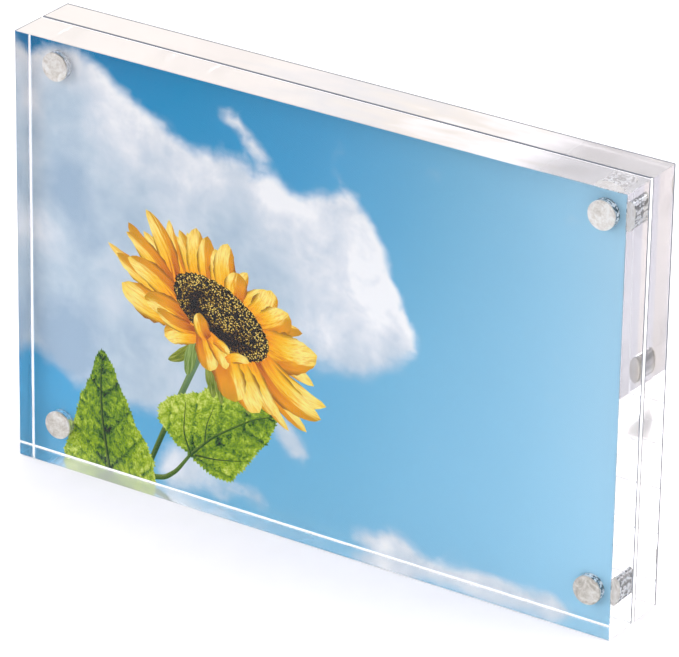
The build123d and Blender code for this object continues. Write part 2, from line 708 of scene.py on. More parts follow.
# Petals: base, tip, width, sideways bend and bluntness.
BACK_PETALS = (
    ((41, 50), (36.5, 64.3), 3.4, 0.06, 2.0),
    ((43, 51), (39.2, 62.6), 3.4, -0.05, 2.4),
    ((45, 51), (43.6, 64.2), 4.6, 0.04, 3.4),
    ((47.5, 51), (46.6, 63), 4.2, 0.05, 3.0),
    ((49.5, 50), (48.6, 60.6), 3.8, -0.04, 3.2),
    ((52, 50), (51.8, 62.6), 4.6, 0.08, 3.6),
    ((54, 49), (54.6, 56.4), 4.6, 0.05, 5.0),
    ((38, 50), (30.4, 65.2), 4.4, -0.07, 2.0),
    ((37, 50), (25.8, 61), 3.8, 0.05, 2.6),
    ((37, 49), (25.2, 58.6), 3.8, -0.07, 2.2),
    ((37, 48.5), (20.4, 54.9), 3.0, 0.06, 1.8),
    ((38, 47), (22.8, 53), 4.4, 0.05, 2.6),
    ((39, 45.5), (25.6, 52.6), 4.8, -0.06, 2.8),
    ((41, 42.5), (24, 46.2), 5.6, 0.09, 4.5),
    ((42, 41), (30, 44.4), 4.6, -0.05, 4.0),
    ((57, 46), (63, 54.6), 5.0, -0.12, 4.5),
    ((59, 45), (67.4, 50.4), 6.2, -0.10, 4.0),
    ((60, 42), (75, 42.4), 8.0, -0.10, 2.6),
    ((60, 39), (77.5, 31), 5.0, -0.12, 2.0),
    ((60, 37.5), (72.6, 23.6), 3.2, -0.08, 3.4),
    ((58.5, 37), (68, 22.6), 2.8, -0.08, 2.4),
    ((60, 38), (76.2, 27.6), 5.6, -0.10, 2.6),
    ((57, 37), (64.4, 25.2), 4.2, -0.06, 3.6),
    ((53, 37), (60.4, 24.8), 5.8, -0.05, 5.5),
    ((50, 37), (54, 25.6), 6.2, 0.03, 6.0),
)
FRONT_PETALS = (
    ((44.4, 38.6), (35.4, 36.4), 5.6, -0.08, 6.0),
    ((43.4, 40), (33.4, 42.6), 3.6, 0.10, 4.5),
    ((45, 40), (47.4, 31.2), 5.8, 0.03, 6.5),
    ((46.8, 39.8), (51.6, 32.8), 4.4, 0.08, 3.6),
    ((46.8, 38.8), (44.6, 44.4), 4.4, 0.12, 3.6),
    ((48.2, 38.6), (52.4, 36.4), 2.6, 0.12, 3.0),
    ((51.6, 35), (57.6, 35.9), 2.8, 0.14, 3.0),
)
# The small sepals under the flower: base, tip and width.
SMALL_SEPALS = (
    ((46.8, 32), (48.3, 25), 3.2),
    ((49, 31), (50.4, 24), 2.4),
    ((56, 30), (57.5, 23.5), 3.0),
)


def anticlockwise(outline):
    """The outline, turned round if it runs clockwise."""
    twice_area = sum(a.cross(b) for a, b in zip(outline, outline[1:] + outline[:1]))
    return outline if twice_area > 0 else outline[::-1]


class Shape:
    """One painted shape: an outline, a spine that its own coordinates follow, and a tone."""

    def __init__(self, kind, outline, spine, half, tone):
        self.kind = kind
        self.outline = anticlockwise(outline)
        self.spine = spine
        self.half = half
        self.tone = tone

    def local(self, point):
        """How far along the spine a point is, 0 to 1, and how far across, in half widths."""
        best = None
        steps = len(self.spine) - 1
        for index in range(steps):
            start, end = self.spine[index], self.spine[index + 1]
            run = end - start
            part = (point - start).dot(run) / run.length_squared
            if 0 < index:
                part = max(0.0, part)
            if index < steps - 1:
                part = min(1.0, part)
            offset = point - (start + run * part)
            if best is None or offset.length < best[0]:
                side = run.x * offset.y - run.y * offset.x
                best = (offset.length, (index + part) / steps, math.copysign(1.0, side))
        return best[1], best[0] * best[2] / self.half


def curve_through(start, end, bend):
    """A bowed line between two points. bend is its sideways rise, in parts of its length."""
    start, end = Vector(start), Vector(end)
    across = Vector((start.y - end.y, end.x - start.x))
    middle = (start + end) / 2 + across * bend * 2
    points = []
    for step in range(PETAL_STEPS + 1):
        t = step / PETAL_STEPS
        points.append(start * (1 - t) ** 2 + middle * 2 * t * (1 - t) + end * t * t)
    return points


def strip(kind, spine, widths, tone, wobble=0.0):
    """A shape made of a spine and its widths, from one end to the other."""
    left = []
    right = []
    steps = len(spine) - 1
    for step, point in enumerate(spine):
        ahead = spine[min(step + 1, steps)] - spine[max(step - 1, 0)]
        across = Vector((-ahead.y, ahead.x)).normalized()
        half = widths(step / steps) / 2
        ripple = 1 + wobble * noise.noise(Vector((point.x * 0.8, point.y * 0.8, tone * 9)))
        left.append(point + across * half * ripple)
        right.append(point - across * half / max(ripple, 0.5))
    half = max(widths(step / 20) for step in range(21)) / 2
    return Shape(kind, left + right[::-1], spine, half, tone)


def petal(kind, base, tip, width, bend, blunt, tone):
    """A petal: narrow at its base, fullest past the middle, and more or less blunt."""

    def widths(t):
        rise = 0.5 + 0.5 * math.sin(math.pi / 2 * min(1.0, t / PETAL_FULL_FROM))
        return max(PETAL_LEAST_WIDTH, width * rise * (1 - t**blunt) ** PETAL_ROUNDING)

    return strip(kind, curve_through(base, tip, bend), widths, tone, PETAL_WOBBLE)


def saw_toothed(points, tooth, height):
    """A smooth closed line through some points, cut into small leaf teeth."""
    dense = []
    count = len(points)
    for index in range(count):
        before, start = points[index - 1], points[index]
        end, after = points[(index + 1) % count], points[(index + 2) % count]
        steps = max(2, round((end - start).length / tooth * 2))
        for step in range(steps):
            t = step / steps
            bowed = (start * 2 + (end - before) * t
                     + (before * 2 - start * 5 + end * 4 - after) * t * t
                     + (start * 3 - before - end * 3 + after) * t**3) / 2
            dense.append(bowed)
    middle = sum(points, Vector((0, 0))) / count
    for index, point in enumerate(dense):
        out = (point - middle).normalized()
        point += out * 0.8 * noise.noise(Vector((point.x * 0.35, point.y * 0.35, 5.0)))
        if index % 2:
            point += out * height * (0.4 + random.random())
    return dense


def leaf(outline, base, tip, half, tone):
    """A leaf from an outline in its own frame: along the rib first, then to its left."""
    base, tip = Vector(base), Vector(tip)
    ahead = (tip - base).normalized()
    left = Vector((-ahead.y, ahead.x))
    points = [base + ahead * a + left * b for a, b in outline]
    toothed = saw_toothed(points, LEAF_TOOTH, LEAF_TOOTH_HEIGHT)
    return Shape("leaf", toothed, [base, tip], half, tone)


def rib(points, start_width, end_width, tone):
    """A leaf rib or a stalk that gets thinner, through a few points."""
    points = [Vector(point) for point in points]
    spine = []
    for start, end in zip(points, points[1:]):
        spine.extend(start.lerp(end, step / RIB_STEPS) for step in range(RIB_STEPS))
    spine.append(points[-1])
    for _ in range(3):
        inner = [(a + b * 2 + c) / 4 for a, b, c in zip(spine, spine[1:], spine[2:])]
        spine = [spine[0]] + inner + [spine[-1]]
    return strip("stem", spine, lambda t: start_width + (end_width - start_width) * t, tone)


def disc_point(angle, reach):
    """A point on the seed disc's outline at an angle, or inside or outside it."""
    long_axis = Vector((math.cos(DISC_TURN), math.sin(DISC_TURN)))
    short_axis = Vector((-long_axis.y, long_axis.x))
    along = long_axis * math.cos(angle) * DISC_HALF_LENGTH
    return DISC_CENTRE + (along + short_axis * math.sin(angle) * DISC_HALF_WIDTH) * reach


def seed_disc():
    """The round middle of the flower, seen from one side, with a ragged rim."""
    outline = []
    for step in range(DISC_STEPS):
        ragged = 1 + 0.06 * (random.random() - 0.5)
        outline.append(disc_point(math.tau * step / DISC_STEPS, ragged))
    ends = [disc_point(math.pi, 1.0), disc_point(0.0, 1.0)]
    return Shape("disc", outline, ends, DISC_HALF_WIDTH, 0.5)


def greenery():
    """The stem, the two leaves with their ribs, and the sepals, from back to front."""
    shapes = [
        rib(((29, -1.5), (35, 13), (40, 24), (44.5, 34)), 1.2, 1.7, 0.35),
        rib(((30, 1), (35.5, 2), (38.7, 4.6), (42.3, 9.6)), 1.5, 0.7, 0.6),
        petal("sepal", (43, 36), (36.3, 31), 3.2, 0.05, 2.5, 0.7),
        petal("sepal", (43, 37), (41.3, 28.6), 3.4, 0.0, 3.0, 0.3),
        leaf(LEFT_LEAF, (20.6, 0), (18.8, 28.4), 11.0, 0.42),
        rib(((20.6, -0.5), (18.6, 12), (18.2, 20), (18.8, 27.5)), 0.9, 0.2, 0.1),
        leaf(RIGHT_LEAF, (42.3, 9.6), (65, 25.2), 12.0, 0.5),
        rib(((42.3, 9.6), (48.5, 15.8), (58.5, 22.6), (64.5, 25)), 0.75, 0.2, 0.3),
        rib(((42.3, 9.8), (40.4, 14.5), (41, 22)), 0.6, 0.15, 0.2),
        rib(((43.5, 9.9), (49, 10.2), (56, 11.8)), 0.55, 0.15, 0.1),
        rib(((46, 13.2), (46.5, 18), (48.5, 23)), 0.45, 0.12, 0.25),
    ]
    for base, tip, width in SMALL_SEPALS:
        shapes.append(petal("sepal", base, tip, width, 0.04, 2.4, 0.55))
    return shapes


def ruff():
    """The short petals all round the disc, longer at its right end and raised at the top."""
    shapes = []
    for number in range(RUFF_PETALS):
        angle = math.tau * (number + 0.3 * random.random()) / RUFF_PETALS
        way = disc_point(angle, 1.0) - DISC_CENTRE
        reach = 1.55 + 0.3 * random.random() + (0.2 if math.cos(angle) > 0.3 else 0.0)
        tip = DISC_CENTRE + way * reach + Vector((0, 2.0 if math.sin(angle) > 0 else 0))
        tone = random.random()
        shapes.append(petal("petal", DISC_CENTRE + way * 0.6, tip, 4.6, 0.03, 3.0, tone))
    return shapes


def flower_shapes():
    """The sunflower, from back to front."""
    random.seed(SEED)
    shapes = greenery() + ruff()
    for number, (base, tip, width, bend, blunt) in enumerate(BACK_PETALS):
        tone = (number * TONE_STEP) % 1
        tone = tone * 0.55 if tip[0] > BRIGHT_TONES_FROM else 0.2 + tone * 0.7
        shapes.append(petal("petal", base, tip, width * BACK_PETAL_GROWTH, bend, blunt, tone))
    shapes.append(seed_disc())
    for number, (base, tip, width, bend, blunt) in enumerate(FRONT_PETALS):
        tone = (number * TONE_STEP + 0.3) % 1
        shapes.append(petal("petal", base, tip, width, bend, blunt, tone))
    return shapes


# ---------------------------------------------------------------- the picture's sky

# The cloud bank's upper and lower lines, from left to right.
BANK_TOP = ((-9, 86), (0, 93.5), (7, 97), (12, 98.4), (16, 96.6), (20, 94.3), (25, 91), (30, 88),
            (37, 84.5), (44, 81.5), (51, 83), (55, 82.5), (58, 80), (63, 81), (69, 77.5), (75, 80),
            (82, 81.5), (87, 77.5), (91, 72), (94, 65.5), (97.5, 57), (100, 52), (101, 47), (160, 47))
BANK_FOOT = ((-9, 26), (0, 25), (8, 21), (20, 17), (30, 17), (36, 19), (44, 24), (50, 26), (56, 28),
             (64, 36), (70, 40.5), (77, 41), (84, 40), (90, 43), (97, 46), (101, 50), (160, 50))
# Small clouds: middle, half sizes, turn in degrees and weight.
SMALL_CLOUDS = (
    ((52, 91.2), (2.6, 1.6), -20, 0.4),
    ((56, 88.2), (5.5, 2.1), -48, 0.62),
    ((59.5, 84.5), (3, 3), 0, 0.4),
    ((79, 85.5), (1.6, 3), 10, 0.35),
    ((40, 5.5), (6.5, 5.5), 0, 1.1),
    ((46, 12), (5, 4), 0, 0.5),
    ((70, 19), (3.5, 2.6), -35, 1.0),
    ((66, 24), (3, 4), 0, 0.85),
    ((52, 4), (4.5, 2.2), 10, 0.55),
    ((60, 4), (3.5, 3), -30, 0.75),
    ((90, 2), (5.5, 2.6), -10, 0.75),
    ((97, 2), (5, 4), -30, 1.0),
    ((106, -0.5), (8, 2.7), 0, 0.9),
    ((117, 0.5), (6, 2.8), 0, 0.95),
    ((127, 0), (7, 2.6), 0, 0.85),
    ((136, 0), (5, 2.4), -20, 0.8),
)
# Paler and darker places in the bank: middle, half size and strength.
PUFFS = (
    ((18, 69), 6, 0.2),
    ((3, 55), 6, 0.55),
    ((20, 45), 9, 0.2),
    ((84, 63), 11, 0.42),
    ((86, 50), 8, 0.38),
    ((64, 75), 6, 0.28),
    ((76, 48), 7, 0.35),
    ((38, 8), 9, 0.4),
    ((22, 87), 7, 0.3),
    ((0, 84), 4, 0.4),
    ((0, 71), 4, 0.25),
    ((7, 84), 7, -0.45),
    ((9, 66), 8, -0.35),
    ((13, 56), 6, -0.3),
    ((9, 28), 10, -0.5),
    ((55, 69), 6, -0.35),
    ((62, 61), 7, -0.1),
)
# How far the clouds' outlines wander, and how softly the bank's two lines end.
CLOUD_WANDER = 1.6
TOP_SOFTNESS = 5.2
FOOT_SOFTNESS = 7.0
MOST_COVER = 1.3
# A cloud is this light along its top, and this much darker at this depth below it.
CLOUD_TOP_LIGHT = 0.93
CLOUD_SHADE = 0.6
CLOUD_SHADE_DEPTH = 28
# The low clouds on the right are lighter by this.
LOW_CLOUD_LIGHT = 0.42


def line_height(line, x):
    """The height of a line made of points at one x."""
    for (start_x, start), (end_x, end) in zip(line, line[1:]):
        if x <= end_x:
            return start + (end - start) * (x - start_x) / (end_x - start_x)
    return line[-1][1]


def soft_spot(x, y, middle, half_x, half_y, turn=0.0):
    """1 in the middle of a soft ellipse and 0 well outside it."""
    turn = math.radians(turn)
    off_x, off_y = x - middle[0], y - middle[1]
    along = (off_x * math.cos(turn) + off_y * math.sin(turn)) / half_x
    across = (off_y * math.cos(turn) - off_x * math.sin(turn)) / half_y
    return math.exp(-(along**2 + across**2))


def cloud_cover(x, y):
    """How much cloud there is at a point of the picture: about 0.5 at a cloud's edge."""
    warp = Vector((x / 9, y / 9, 3.1))
    x += CLOUD_WANDER * noise.fractal(warp, 1.0, 2.0, 3)
    y += CLOUD_WANDER * noise.fractal(warp + Vector((9, 4, 0)), 1.0, 2.0, 3)
    below_top = (line_height(BANK_TOP, x) - y) / TOP_SOFTNESS + 0.5
    above_foot = (y - line_height(BANK_FOOT, x)) / FOOT_SOFTNESS + 0.5
    cover = max(0.0, min(1.0, below_top)) * max(0.0, min(1.0, above_foot))
    for middle, (half_x, half_y), turn, weight in SMALL_CLOUDS:
        cover += weight * soft_spot(x, y, middle, half_x, half_y, turn)
    return min(MOST_COVER, cover)


def cloud_light(x, y):
    """How white a cloud is: bright along its top, blue-grey deep inside."""
    depth = max(0.0, line_height(BANK_TOP, x) - y)
    light = CLOUD_TOP_LIGHT - CLOUD_SHADE * min(1.0, depth / CLOUD_SHADE_DEPTH) ** 0.8
    light += LOW_CLOUD_LIGHT * soft_spot(x, y, (112, 0), 40, 9)
    for middle, half, strength in PUFFS:
        light += strength * soft_spot(x, y, middle, half, half)
    return light


def sky_haze(x, y, width, height):
    """How pale the blue is: deep at the top left, palest at the far right."""
    right = x / width
    up = y / height
    haze = 0.03 + 0.38 * right + 0.34 * (1 - up) * (1 - 0.3 * right) + 0.15 * right**3
    haze += 0.4 * right**3 * up
    return min(1.0, max(0.0, haze + 0.02 * noise.noise(Vector((x / 30, y / 30, 1)))))


# ---------------------------------------------------------------- the picture's inks

# What the inks are multiplied by: from one height to another, and more at the left end.
INK_GAIN = (1.2, 1.0)
INK_GAIN_LEFT = 1.05
INK_GAIN_HEIGHTS = (0.0, 0.1)
LEFT_GAIN_ENDS = (-0.076, -0.045)
INK_BALANCE = (1.02, 0.99, 0.95)
INK_DARKEST = (0.012, 0.012, 0.014, 1.0)
INK_PALEST = (0.97, 0.97, 0.97, 1.0)
VEIL = (0.03, 0.03, 0.036, 1.0)
PAPER_SHINE = 0.05
# How far the florets' pattern reaches from the disc's centre, along it and across it.
FLORET_REACH = (13.4, 7.6)


def paper_surface(nodes, colour):
    """The satin photo paper under every ink, as the finished material."""
    grain = nodes.noise(nodes.object_place(), 9000.0, detail=2.0)
    return nodes.surface(
        Base_Color=colour,
        Roughness=nodes.span(grain, 0.3, 0.7, 0.38, 0.46),
        Specular_IOR_Level=PAPER_SHINE,
        Normal=nodes.bump(grain, 0.12, 0.004 * MM),
    )


def printed(nodes, colour):
    """The paper with the ink that shows as a display colour in this light, finely grained.

    The print is a little paler low down and at the left end, where the light is weaker, and
    the constant part that every reflection adds is taken off.
    """
    place = nodes.object_place()
    parts = nodes.axes(place)
    low = nodes.span(parts["Z"], *INK_GAIN_HEIGHTS, *INK_GAIN)
    left = nodes.span(parts["X"], *LEFT_GAIN_ENDS, INK_GAIN_LEFT, 1.0, smooth=True)
    grain = nodes.span(nodes.noise(place, 4200.0, detail=3.0), 0.25, 0.75, 0.98, 1.02)
    gain = nodes.product(low, left, grain)
    levels = nodes.add("CombineColor")
    for socket, share in zip(levels.inputs, INK_BALANCE):
        nodes.put(socket, nodes.product(gain, share))
    bare = nodes.mix(1.0, colour, VEIL, "SUBTRACT")
    scaled = nodes.mix(1.0, bare, levels.outputs[0], "MULTIPLY")
    dark_enough = nodes.mix(1.0, scaled, INK_DARKEST, "LIGHTEN")
    return paper_surface(nodes, nodes.mix(1.0, dark_enough, INK_PALEST, "DARKEN"))


def local_axes(nodes):
    """The along and across coordinates of the shape under a point, and its tone."""
    parts = nodes.axes(nodes.add("UVMap", uv_map="shape").outputs[0])
    tone = nodes.add("Attribute", attribute_name="tone").outputs["Fac"]
    return parts["X"], parts["Y"], tone


def sky_ink():
    """Blue sky with soft clouds. The coarse cover is in the mesh, and noise breaks its edges."""
    nodes = material_nodes("print_sky")
    place = nodes.object_place()
    field = nodes.add("SeparateColor")
    nodes.put(field.inputs[0], nodes.add("Attribute", attribute_name="sky").outputs["Color"])
    cover, haze, light = field.outputs
    blue = nodes.display_ramp(
        haze,
        (0.0, 18, 128, 186), (0.12, 48, 142, 194), (0.3, 84, 160, 207),
        (0.5, 121, 182, 217), (0.72, 149, 200, 230), (1.0, 176, 215, 238),
    )
    billows = nodes.noise(place, 95.0, detail=7.0, roughness=0.55, distortion=0.25)
    wisps = nodes.noise(nodes.stretched(place, (230.0, 230.0, 420.0), turn=0.3), 1.0, detail=5.0)
    ragged = nodes.swayed(nodes.swayed(cover, billows, 0.9), wisps, 0.25)
    opacity = nodes.span(ragged, 0.12, 0.86, smooth=True)
    cloud = nodes.display_ramp(
        nodes.swayed(nodes.swayed(light, billows, 1.2), wisps, 0.2),
        (0.0, 158, 182, 206), (0.35, 182, 201, 218), (0.65, 204, 216, 229),
        (0.85, 222, 229, 238), (1.0, 238, 242, 247),
    )
    return printed(nodes, nodes.mix(opacity, blue, cloud))


def petal_ink():
    """Yellow petals, orange down their folded middles, with long fine streaks."""
    nodes = material_nodes("print_petal")
    along, across, tone = local_axes(nodes)
    place = nodes.vector(
        nodes.product(along, 2.2), nodes.product(across, 4.5), nodes.product(tone, 37.0)
    )
    streaks = nodes.noise(place, 1.0, detail=6.0, roughness=0.65)
    off_fold = nodes.math("SUBTRACT", across, nodes.swing(tone, 1.2))
    lit = nodes.span(nodes.swayed(off_fold, streaks, 1.6), -0.3, 0.12, smooth=True)
    bright = nodes.display_ramp(
        nodes.swayed(along, streaks, 0.7),
        (0.0, 230, 140, 38), (0.25, 246, 178, 56), (0.5, 252, 206, 86),
        (0.78, 254, 230, 140), (1.0, 242, 212, 104),
    )
    deep = nodes.display_ramp(
        nodes.swayed(along, streaks, 0.6),
        (0.0, 156, 76, 16), (0.25, 208, 122, 30), (0.6, 228, 156, 48), (1.0, 190, 144, 42),
    )
    fine = nodes.span(nodes.noise(place, 3.2, detail=4.0), 0.5, 0.62, 0.0, 0.45)
    streaked = nodes.mix(fine, nodes.mix(lit, deep, bright), srgb(214, 146, 44))
    edge = nodes.span(nodes.math("ABSOLUTE", across), 0.7, 0.94, 0.0, 0.9)
    return printed(nodes, nodes.mix(edge, streaked, srgb(146, 96, 28)))


def disc_ink():
    """The seed head: gold florets over near black, fullest at the rim and in the middle."""
    nodes = material_nodes("print_disc")
    along, across, _ = local_axes(nodes)
    centred = nodes.swing(along, 2.0)
    reach_along, reach_across = FLORET_REACH
    place = nodes.vector(
        nodes.product(centred, reach_along), nodes.product(across, reach_across), 0.0
    )
    florets = nodes.add("TexVoronoi", feature="F1")
    nodes.put(florets.inputs["Vector"], place)
    florets.inputs["Scale"].default_value = 2.3
    florets.inputs["Randomness"].default_value = 0.9
    squares = [nodes.math("POWER", value, 2.0) for value in (centred, across)]
    radius = nodes.math("SQRT", nodes.math("ADD", *squares))
    dark_ring = nodes.math("SUBTRACT", 1.0, nodes.product(nodes.gap(radius, 0.55), 3.2))
    patches = nodes.noise(place, 0.32, detail=3.0)
    lower_left = nodes.math("MULTIPLY_ADD", across, -1.1, nodes.product(centred, -0.15))
    gloom = nodes.math("ADD", nodes.swayed(dark_ring, patches, 2.6), lower_left)
    gold = nodes.span(gloom, -0.1, 1.1, 1.7, 0.1)
    dots = nodes.span(florets.outputs["Distance"], 0.08, 0.46, 1.0, 0.0)
    fine = nodes.span(nodes.noise(place, 1.5, detail=3.0), 0.35, 0.6, 0.15, 1.7)
    colour = nodes.display_ramp(
        nodes.product(dots, gold, fine),
        (0.0, 36, 22, 16), (0.08, 96, 72, 28), (0.25, 162, 130, 52),
        (0.5, 206, 174, 78), (0.9, 244, 224, 132),
    )
    return printed(nodes, colour)


def leaf_ink():
    """Crumpled green leaf with side veins that leave the rib at an angle."""
    nodes = material_nodes("print_leaf")
    along, across, tone = local_axes(nodes)
    out = nodes.math("ABSOLUTE", across)
    place = nodes.vector(nodes.product(along, 9.0), nodes.product(across, 4.5), tone)
    crumple = nodes.noise(place, 1.9, detail=5.0, roughness=0.6, distortion=0.5)
    fine = nodes.noise(place, 8.0, detail=4.0, roughness=0.6, distortion=1.0)
    sweep = nodes.math("SUBTRACT", along, nodes.product(out, 0.38))
    bent = nodes.swayed(sweep, crumple, 0.1)
    wave = nodes.math("PINGPONG", nodes.product(bent, 6.5), 1.0)
    vein = nodes.span(wave, 0.0, 0.22, 1.0, 0.0, smooth=True)
    light = nodes.math("ADD", crumple, nodes.product(fine, 0.9))
    light = nodes.math("ADD", light, nodes.product(out, 0.25))
    light = nodes.math("SUBTRACT", light, nodes.product(vein, 0.16))
    light = nodes.math("ADD", light, nodes.math("MULTIPLY_ADD", tone, 0.7, -0.24))
    colour = nodes.display_ramp(
        nodes.span(light, 0.8, 1.42),
        (0.0, 34, 56, 12), (0.25, 78, 110, 24), (0.5, 120, 152, 42),
        (0.75, 162, 186, 70), (1.0, 206, 216, 122),
    )
    return printed(nodes, colour)


def stem_ink():
    """Dark green ribs and stalks. The one long stem, by its tone, gets greyer high up."""
    nodes = material_nodes("print_stem")
    along, across, tone = local_axes(nodes)
    place = nodes.vector(nodes.product(along, 14.0), across, tone)
    mottle = nodes.noise(place, 1.6, detail=4.0)
    base = nodes.mix(tone, srgb(40, 60, 22), srgb(90, 122, 48))
    high = nodes.product(
        nodes.span(tone, 0.3, 0.36), nodes.span(tone, 0.4, 0.36), nodes.span(along, 0.3, 0.9)
    )
    colour = nodes.mix(high, base, srgb(112, 140, 112))
    side = nodes.span(nodes.math("ADD", across, mottle), 0.2, 1.2, 0.0, 0.45)
    return printed(nodes, nodes.mix(side, colour, srgb(138, 160, 104)))


def sepal_ink():
    """Olive bracts under the flower, with long veins."""
    nodes = material_nodes("print_sepal")
    along, across, tone = local_axes(nodes)
    place = nodes.vector(along, nodes.product(across, 3.0), tone)
    veins = nodes.noise(place, 2.2, detail=4.0)
    low = nodes.mix(tone, srgb(70, 112, 62), srgb(104, 112, 34))
    high = nodes.mix(tone, srgb(142, 174, 118), srgb(168, 166, 74))
    return printed(nodes, nodes.mix(nodes.span(veins, 0.35, 0.65), low, high))


def paper_back():
    """The bare off-white back and edges of the paper, with faint fibres."""
    nodes = material_nodes("paper_white")
    place = nodes.object_place()
    fibres = nodes.noise(nodes.stretched(place, (700.0, 700.0, 2600.0)), 1.0, detail=5.0)
    colour = nodes.display_ramp(fibres, (0.3, 188, 188, 185), (0.7, 202, 202, 200))
    return paper_surface(nodes, colour)


# ---------------------------------------------------------------- the picture sheet

# Each kind of shape and its ink, in slot order. The paper's own slot comes after them.
INKS = {
    "sky": sky_ink,
    "petal": petal_ink,
    "disc": disc_ink,
    "leaf": leaf_ink,
    "stem": stem_ink,
    "sepal": sepal_ink,
}
INK_SLOTS = list(INKS)
PAPER_SLOT = len(INKS)
# The sky's grid of points, and the square that each one strays in, in millimetres.
SKY_GRID = 2.0
SKY_JITTER = 0.6


def picture_points(shapes, width, height):
    """The outlines' points, then a grid of loose ones that carry the sky."""
    edge = []
    steps_x, steps_y = round(width / SKY_GRID), round(height / SKY_GRID)
    corners = ((0, 0), (width, 0), (width, height), (0, height), (0, 0))
    for (x, y), (end_x, end_y), steps in zip(corners, corners[1:], (steps_x, steps_y) * 2):
        for part in [step / steps for step in range(steps)]:
            edge.append(Vector((x + (end_x - x) * part, y + (end_y - y) * part)))
    points = []
    faces = []
    for outline in [edge] + [shape.outline for shape in shapes]:
        faces.append(list(range(len(points), len(points) + len(outline))))
        points.extend(outline)
    for row in range(1, steps_y):
        for column in range(1, steps_x):
            spot = Vector((width * column / steps_x, height * row / steps_y))
            jitter = Vector((random.random() - 0.5, random.random() - 0.5)) * SKY_JITTER
            points.append(spot + jitter)
    return points, faces


def paint_front(bm, low, width, height):
    """Cuts the sheet's front along every shape, and lays its coordinates and sky on it."""
    shapes = flower_shapes()
    points, faces = picture_points(shapes, width, height)
    spots, _, triangles, _, _, owners = delaunay_2d_cdt(points, [], faces, 1, 1e-5, True)
    shape_layer = bm.loops.layers.uv.new("shape")
    tone_layer = bm.faces.layers.float.new("tone")
    sky_layer = bm.verts.layers.float_color.new("sky")
    verts = [bm.verts.new((low.x + spot.x * MM, low.y, low.z + spot.y * MM)) for spot in spots]
    for vert, spot in zip(verts, spots):
        haze = sky_haze(*spot, width, height)
        vert[sky_layer] = (cloud_cover(*spot), haze, cloud_light(*spot), 1.0)
    for triangle, inside in zip(triangles, owners):
        if 0 not in inside:
            continue
        face = bm.faces.new([verts[index] for index in triangle])
        top = max(inside)
        if top == 0:
            continue
        shape = shapes[top - 1]
        face.material_index = INK_SLOTS.index(shape.kind)
        face[tone_layer] = shape.tone
        for loop, index in zip(face.loops, triangle):
            loop[shape_layer].uv = shape.local(spots[index])
    bmesh.ops.delete(bm, geom=[vert for vert in verts if not vert.link_faces], context="VERTS")


def close_sheet(bm, back_y):
    """Gives the painted front its edges and its back, in the same order on every run."""
    rim = [edge for edge in bm.edges if edge.is_boundary]
    behind = {}
    for vert in [vert for edge in rim for vert in edge.verts]:
        if vert not in behind:
            behind[vert] = bm.verts.new((vert.co.x, back_y, vert.co.z))
    for start, end in [edge.verts for edge in rim]:
        side = bm.faces.new([start, end, behind[end], behind[start]])
        side.material_index = PAPER_SLOT
    back_rim = [edge for edge in bm.edges if edge.is_boundary]
    for face in bmesh.ops.edgeloop_fill(bm, edges=back_rim)["faces"]:
        face.material_index = PAPER_SLOT


def build_picture():
    """The photo print: a flat closed sheet whose front is cut along every painted shape."""
    low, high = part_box("picture_print")
    bm = bmesh.new()
    paint_front(bm, low, (high.x - low.x) / MM, (high.z - low.z) / MM)
    close_sheet(bm, high.y)
    materials = [make_ink() for make_ink in INKS.values()] + [paper_back()]
    obj = new_object("picture_sheet", mesh_from(bm, "picture_sheet", materials))
    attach(obj, "print")
    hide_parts("picture_print")


# ---------------------------------------------------------------- magnets and glue

GLUE_OVERLAP = 0.012 * MM
GLUE_COLLAR = 0.8 * MM
GLUE_SEGMENTS = 96


def nickel_material():
    """Bright nickel plating with fine turning marks and a few dull patches."""
    nodes = material_nodes("nickel")
    place = nodes.object_place()
    patches = nodes.noise(place, 600.0, detail=4.0)
    marks = nodes.noise(nodes.stretched(place, (900.0, 9000.0, 900.0)), 1.0, detail=3.0)
    return nodes.surface(
        Base_Color=nodes.ramp(patches, ((0.3, (0.54, 0.54, 0.53, 1)), (0.7, (0.7, 0.7, 0.69, 1)))),
        Metallic=1.0,
        Roughness=nodes.span(patches, 0.35, 0.65, 0.08, 0.2),
        Normal=nodes.bump(marks, 0.25, 0.003 * MM),
    )


def glue_material():
    """Pale set glue, blotchy where it is thin, with painted light making it paler higher up."""
    nodes = material_nodes("glue")
    place = nodes.object_place()
    blotches = nodes.noise(place, 420.0, detail=5.0, roughness=0.6, distortion=0.8)
    mixed = nodes.swayed(blotches, nodes.noise(place, 2200.0, detail=2.0), 0.3)
    # Painted light: the glue is made paler higher up, where more light falls.
    height = nodes.span(nodes.axes(place)["Z"], 0.01, 0.09, -0.02, 0.1)
    colour = nodes.display_ramp(
        nodes.math("ADD", mixed, height),
        (0.3, 186, 178, 164), (0.45, 212, 205, 194), (0.58, 230, 225, 217), (0.72, 244, 242, 237),
    )
    return nodes.surface(
        Base_Color=colour,
        Roughness=0.6,
        Specular_IOR_Level=0.2,
        Normal=nodes.bump(mixed, 0.3, 0.02 * MM),
    )


